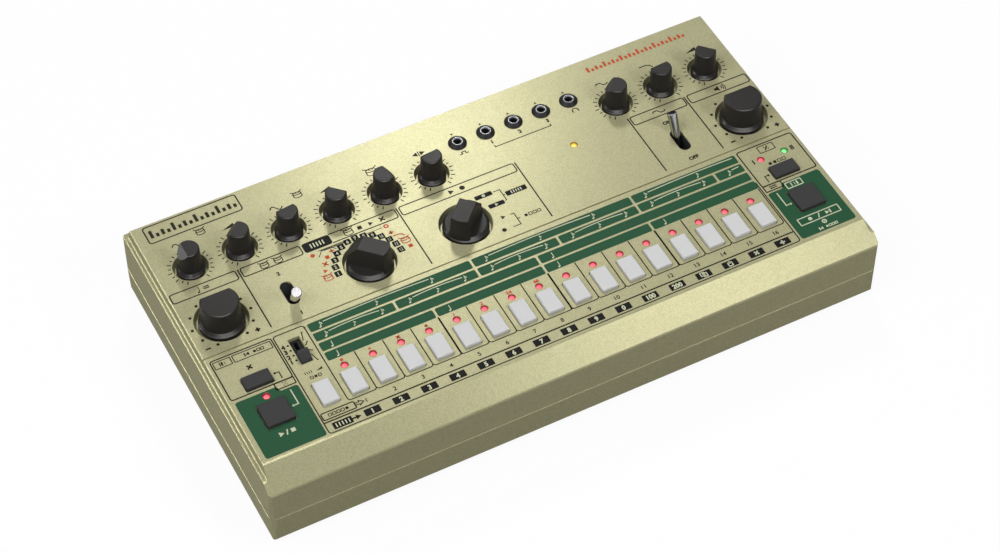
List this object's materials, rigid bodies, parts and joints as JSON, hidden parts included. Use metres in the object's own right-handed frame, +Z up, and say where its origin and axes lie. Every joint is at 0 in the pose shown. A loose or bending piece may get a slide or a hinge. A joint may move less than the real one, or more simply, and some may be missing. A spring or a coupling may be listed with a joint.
{
  "type": "drum machine",
  "caption": "Desktop drum machine: slab case with a raised control panel, turning knobs and selectors, toggle levers, a slide switch, press buttons, lamps and jack sockets.",
  "frame": {"origin": "on the surface that the case stands on, under the middle of its bounding box", "axes": "+X to the right along the case, +Y from the front with the step buttons to the rear with the sockets, +Z up out of the panel"},
  "size_m": [0.305, 0.1622, 0.0562],
  "materials": {
    "case_paint": "satin champagne metallic paint",
    "foot_rubber": "matte",
    "screw_steel": "black zinc",
    "board": "solder mask",
    "control_metal": "plain",
    "inner_black": "moulded",
    "red_lens": "clear tinted",
    "green_lens": "clear tinted",
    "amber_lens": "clear tinted",
    "jack_metal": "bright",
    "ring_black": "black",
    "cable_grey": "ribbed",
    "knob_black": "satin",
    "lever_chrome": "polished",
    "button_white": "smooth",
    "button_black": "satin"
  },
  "bodies": {
    "case": {"upper_shell": "case_paint", "control_panel": "case_paint", "socket_panel": "case_paint", "lower_shell": "case_paint", "lower_walls": "case_paint", "rubber_feet": "foot_rubber", "screws": "screw_steel", "circuit_boards": "board", "potentiometers": "control_metal", "rotary_switches": "inner_black", "tact_switches": "inner_black", "switch_bodies": "inner_black", "red_lamps": "red_lens", "green_lamp": "green_lens", "amber_lamp": "amber_lens", "jack_sockets": "jack_metal", "jack_nuts": "ring_black", "midi_sockets": "inner_black", "usb_socket": "jack_metal", "dc_inlet": "inner_black", "output_socket": "inner_black", "ribbon_cable": "cable_grey"},
    "small_knob_1": {"small_knob_1": "knob_black"},
    "small_knob_2": {"small_knob_2": "knob_black"},
    "small_knob_3": {"small_knob_3": "knob_black"},
    "small_knob_4": {"small_knob_4": "knob_black"},
    "small_knob_5": {"small_knob_5": "knob_black"},
    "small_knob_6": {"small_knob_6": "knob_black"},
    "small_knob_7": {"small_knob_7": "knob_black"},
    "small_knob_8": {"small_knob_8": "knob_black"},
    "small_knob_9": {"small_knob_9": "knob_black"},
    "tempo_knob": {"tempo_knob": "knob_black"},
    "volume_knob": {"volume_knob": "knob_black"},
    "instrument_selector": {"instrument_selector": "knob_black"},
    "mode_selector": {"mode_selector": "knob_black"},
    "variant_toggle": {"variant_toggle": "lever_chrome"},
    "drive_toggle": {"drive_toggle": "lever_chrome"},
    "scale_slider": {"scale_slider": "button_black"},
    "power_slider": {"power_slider": "button_black"},
    "function_button": {"function_button": "button_white"},
    "step_button_1": {"step_button_1": "button_white"},
    "step_button_2": {"step_button_2": "button_white"},
    "step_button_3": {"step_button_3": "button_white"},
    "step_button_4": {"step_button_4": "button_white"},
    "step_button_5": {"step_button_5": "button_white"},
    "step_button_6": {"step_button_6": "button_white"},
    "step_button_7": {"step_button_7": "button_white"},
    "step_button_8": {"step_button_8": "button_white"},
    "step_button_9": {"step_button_9": "button_white"},
    "step_button_10": {"step_button_10": "button_white"},
    "step_button_11": {"step_button_11": "button_white"},
    "step_button_12": {"step_button_12": "button_white"},
    "step_button_13": {"step_button_13": "button_white"},
    "step_button_14": {"step_button_14": "button_white"},
    "step_button_15": {"step_button_15": "button_white"},
    "step_button_16": {"step_button_16": "button_white"},
    "clear_button": {"clear_button": "button_black"},
    "start_button": {"start_button": "button_black"},
    "group_button": {"group_button": "button_black"},
    "tap_button": {"tap_button": "button_black"}
  },
  "joints": [
    {"name": "small_knob_1_turn", "type": "hinge", "parent": "case", "child": "small_knob_1", "pos_m": [-0.1328, 0.04525, 0.0434], "axis": [0, 0, 1], "range_deg": [-240, 60]},
    {"name": "small_knob_2_turn", "type": "hinge", "parent": "case", "child": "small_knob_2", "pos_m": [-0.10868, 0.04525, 0.0434], "axis": [0, 0, 1], "range_deg": [-195, 105]},
    {"name": "small_knob_3_turn", "type": "hinge", "parent": "case", "child": "small_knob_3", "pos_m": [-0.08456, 0.04525, 0.0434], "axis": [0, 0, 1], "range_deg": [-156, 144]},
    {"name": "small_knob_4_turn", "type": "hinge", "parent": "case", "child": "small_knob_4", "pos_m": [-0.06044, 0.04525, 0.0434], "axis": [0, 0, 1], "range_deg": [-105, 195]},
    {"name": "small_knob_5_turn", "type": "hinge", "parent": "case", "child": "small_knob_5", "pos_m": [-0.03632, 0.04525, 0.0434], "axis": [0, 0, 1], "range_deg": [-67, 233]},
    {"name": "small_knob_6_turn", "type": "hinge", "parent": "case", "child": "small_knob_6", "pos_m": [-0.0122, 0.04525, 0.0434], "axis": [0, 0, 1], "range_deg": [-155, 145]},
    {"name": "small_knob_7_turn", "type": "hinge", "parent": "case", "child": "small_knob_7", "pos_m": [0.08456, 0.04525, 0.0434], "axis": [0, 0, 1], "range_deg": [-203, 97]},
    {"name": "small_knob_8_turn", "type": "hinge", "parent": "case", "child": "small_knob_8", "pos_m": [0.10868, 0.04525, 0.0434], "axis": [0, 0, 1], "range_deg": [-154, 146]},
    {"name": "small_knob_9_turn", "type": "hinge", "parent": "case", "child": "small_knob_9", "pos_m": [0.1328, 0.04525, 0.0434], "axis": [0, 0, 1], "range_deg": [-104, 196]},
    {"name": "tempo_knob_turn", "type": "hinge", "parent": "case", "child": "tempo_knob", "pos_m": [-0.1328, 0.01075, 0.0434], "axis": [0, 0, 1], "range_deg": [-150, 150]},
    {"name": "volume_knob_turn", "type": "hinge", "parent": "case", "child": "volume_knob", "pos_m": [0.1328, 0.01075, 0.0434], "axis": [0, 0, 1], "range_deg": [-150, 150]},
    {"name": "instrument_selector_turn", "type": "hinge", "parent": "case", "child": "instrument_selector", "pos_m": [-0.06044, 0.01075, 0.0434], "axis": [0, 0, 1], "range_deg": [-135, 45]},
    {"name": "mode_selector_turn", "type": "hinge", "parent": "case", "child": "mode_selector", "pos_m": [-0.0122, 0.01075, 0.0434], "axis": [0, 0, 1], "range_deg": [-90, 0]},
    {"name": "variant_toggle_tilt", "type": "hinge", "parent": "case", "child": "variant_toggle", "pos_m": [-0.0998, 0.01075, 0.0352], "axis": [1, 0, 0], "range_deg": [-52, 0]},
    {"name": "drive_toggle_tilt", "type": "hinge", "parent": "case", "child": "drive_toggle", "pos_m": [0.0998, 0.01075, 0.0352], "axis": [1, 0, 0], "range_deg": [0, 52]},
    {"name": "scale_slider_slide", "type": "slide", "parent": "case", "child": "scale_slider", "axis": [0, 1, 0], "range_m": [0, 0.009]},
    {"name": "power_slider_slide", "type": "slide", "parent": "case", "child": "power_slider", "axis": [1, 0, 0], "range_m": [0, 0.003]},
    {"name": "function_button_press", "type": "slide", "parent": "case", "child": "function_button", "axis": [0, 0, -1], "range_m": [0, 0.0005], "stiffness_N_per_m": 1500, "springref_m": -0.0005},
    {"name": "step_button_1_press", "type": "slide", "parent": "case", "child": "step_button_1", "axis": [0, 0, -1], "range_m": [0, 0.0005], "stiffness_N_per_m": 1500, "springref_m": -0.0005},
    {"name": "step_button_2_press", "type": "slide", "parent": "case", "child": "step_button_2", "axis": [0, 0, -1], "range_m": [0, 0.0005], "stiffness_N_per_m": 1500, "springref_m": -0.0005},
    {"name": "step_button_3_press", "type": "slide", "parent": "case", "child": "step_button_3", "axis": [0, 0, -1], "range_m": [0, 0.0005], "stiffness_N_per_m": 1500, "springref_m": -0.0005},
    {"name": "step_button_4_press", "type": "slide", "parent": "case", "child": "step_button_4", "axis": [0, 0, -1], "range_m": [0, 0.0005], "stiffness_N_per_m": 1500, "springref_m": -0.0005},
    {"name": "step_button_5_press", "type": "slide", "parent": "case", "child": "step_button_5", "axis": [0, 0, -1], "range_m": [0, 0.0005], "stiffness_N_per_m": 1500, "springref_m": -0.0005},
    {"name": "step_button_6_press", "type": "slide", "parent": "case", "child": "step_button_6", "axis": [0, 0, -1], "range_m": [0, 0.0005], "stiffness_N_per_m": 1500, "springref_m": -0.0005},
    {"name": "step_button_7_press", "type": "slide", "parent": "case", "child": "step_button_7", "axis": [0, 0, -1], "range_m": [0, 0.0005], "stiffness_N_per_m": 1500, "springref_m": -0.0005},
    {"name": "step_button_8_press", "type": "slide", "parent": "case", "child": "step_button_8", "axis": [0, 0, -1], "range_m": [0, 0.0005], "stiffness_N_per_m": 1500, "springref_m": -0.0005},
    {"name": "step_button_9_press", "type": "slide", "parent": "case", "child": "step_button_9", "axis": [0, 0, -1], "range_m": [0, 0.0005], "stiffness_N_per_m": 1500, "springref_m": -0.0005},
    {"name": "step_button_10_press", "type": "slide", "parent": "case", "child": "step_button_10", "axis": [0, 0, -1], "range_m": [0, 0.0005], "stiffness_N_per_m": 1500, "springref_m": -0.0005},
    {"name": "step_button_11_press", "type": "slide", "parent": "case", "child": "step_button_11", "axis": [0, 0, -1], "range_m": [0, 0.0005], "stiffness_N_per_m": 1500, "springref_m": -0.0005},
    {"name": "step_button_12_press", "type": "slide", "parent": "case", "child": "step_button_12", "axis": [0, 0, -1], "range_m": [0, 0.0005], "stiffness_N_per_m": 1500, "springref_m": -0.0005},
    {"name": "step_button_13_press", "type": "slide", "parent": "case", "child": "step_button_13", "axis": [0, 0, -1], "range_m": [0, 0.0005], "stiffness_N_per_m": 1500, "springref_m": -0.0005},
    {"name": "step_button_14_press", "type": "slide", "parent": "case", "child": "step_button_14", "axis": [0, 0, -1], "range_m": [0, 0.0005], "stiffness_N_per_m": 1500, "springref_m": -0.0005},
    {"name": "step_button_15_press", "type": "slide", "parent": "case", "child": "step_button_15", "axis": [0, 0, -1], "range_m": [0, 0.0005], "stiffness_N_per_m": 1500, "springref_m": -0.0005},
    {"name": "step_button_16_press", "type": "slide", "parent": "case", "child": "step_button_16", "axis": [0, 0, -1], "range_m": [0, 0.0005], "stiffness_N_per_m": 1500, "springref_m": -0.0005},
    {"name": "clear_button_press", "type": "slide", "parent": "case", "child": "clear_button", "axis": [0, 0, -1], "range_m": [0, 0.0005], "stiffness_N_per_m": 1500, "springref_m": -0.0005},
    {"name": "start_button_press", "type": "slide", "parent": "case", "child": "start_button", "axis": [0, 0, -1], "range_m": [0, 0.0005], "stiffness_N_per_m": 1500, "springref_m": -0.0005},
    {"name": "group_button_press", "type": "slide", "parent": "case", "child": "group_button", "axis": [0, 0, -1], "range_m": [0, 0.0005], "stiffness_N_per_m": 1500, "springref_m": -0.0005},
    {"name": "tap_button_press", "type": "slide", "parent": "case", "child": "tap_button", "axis": [0, 0, -1], "range_m": [0, 0.0005], "stiffness_N_per_m": 1500, "springref_m": -0.0005}
  ]
}
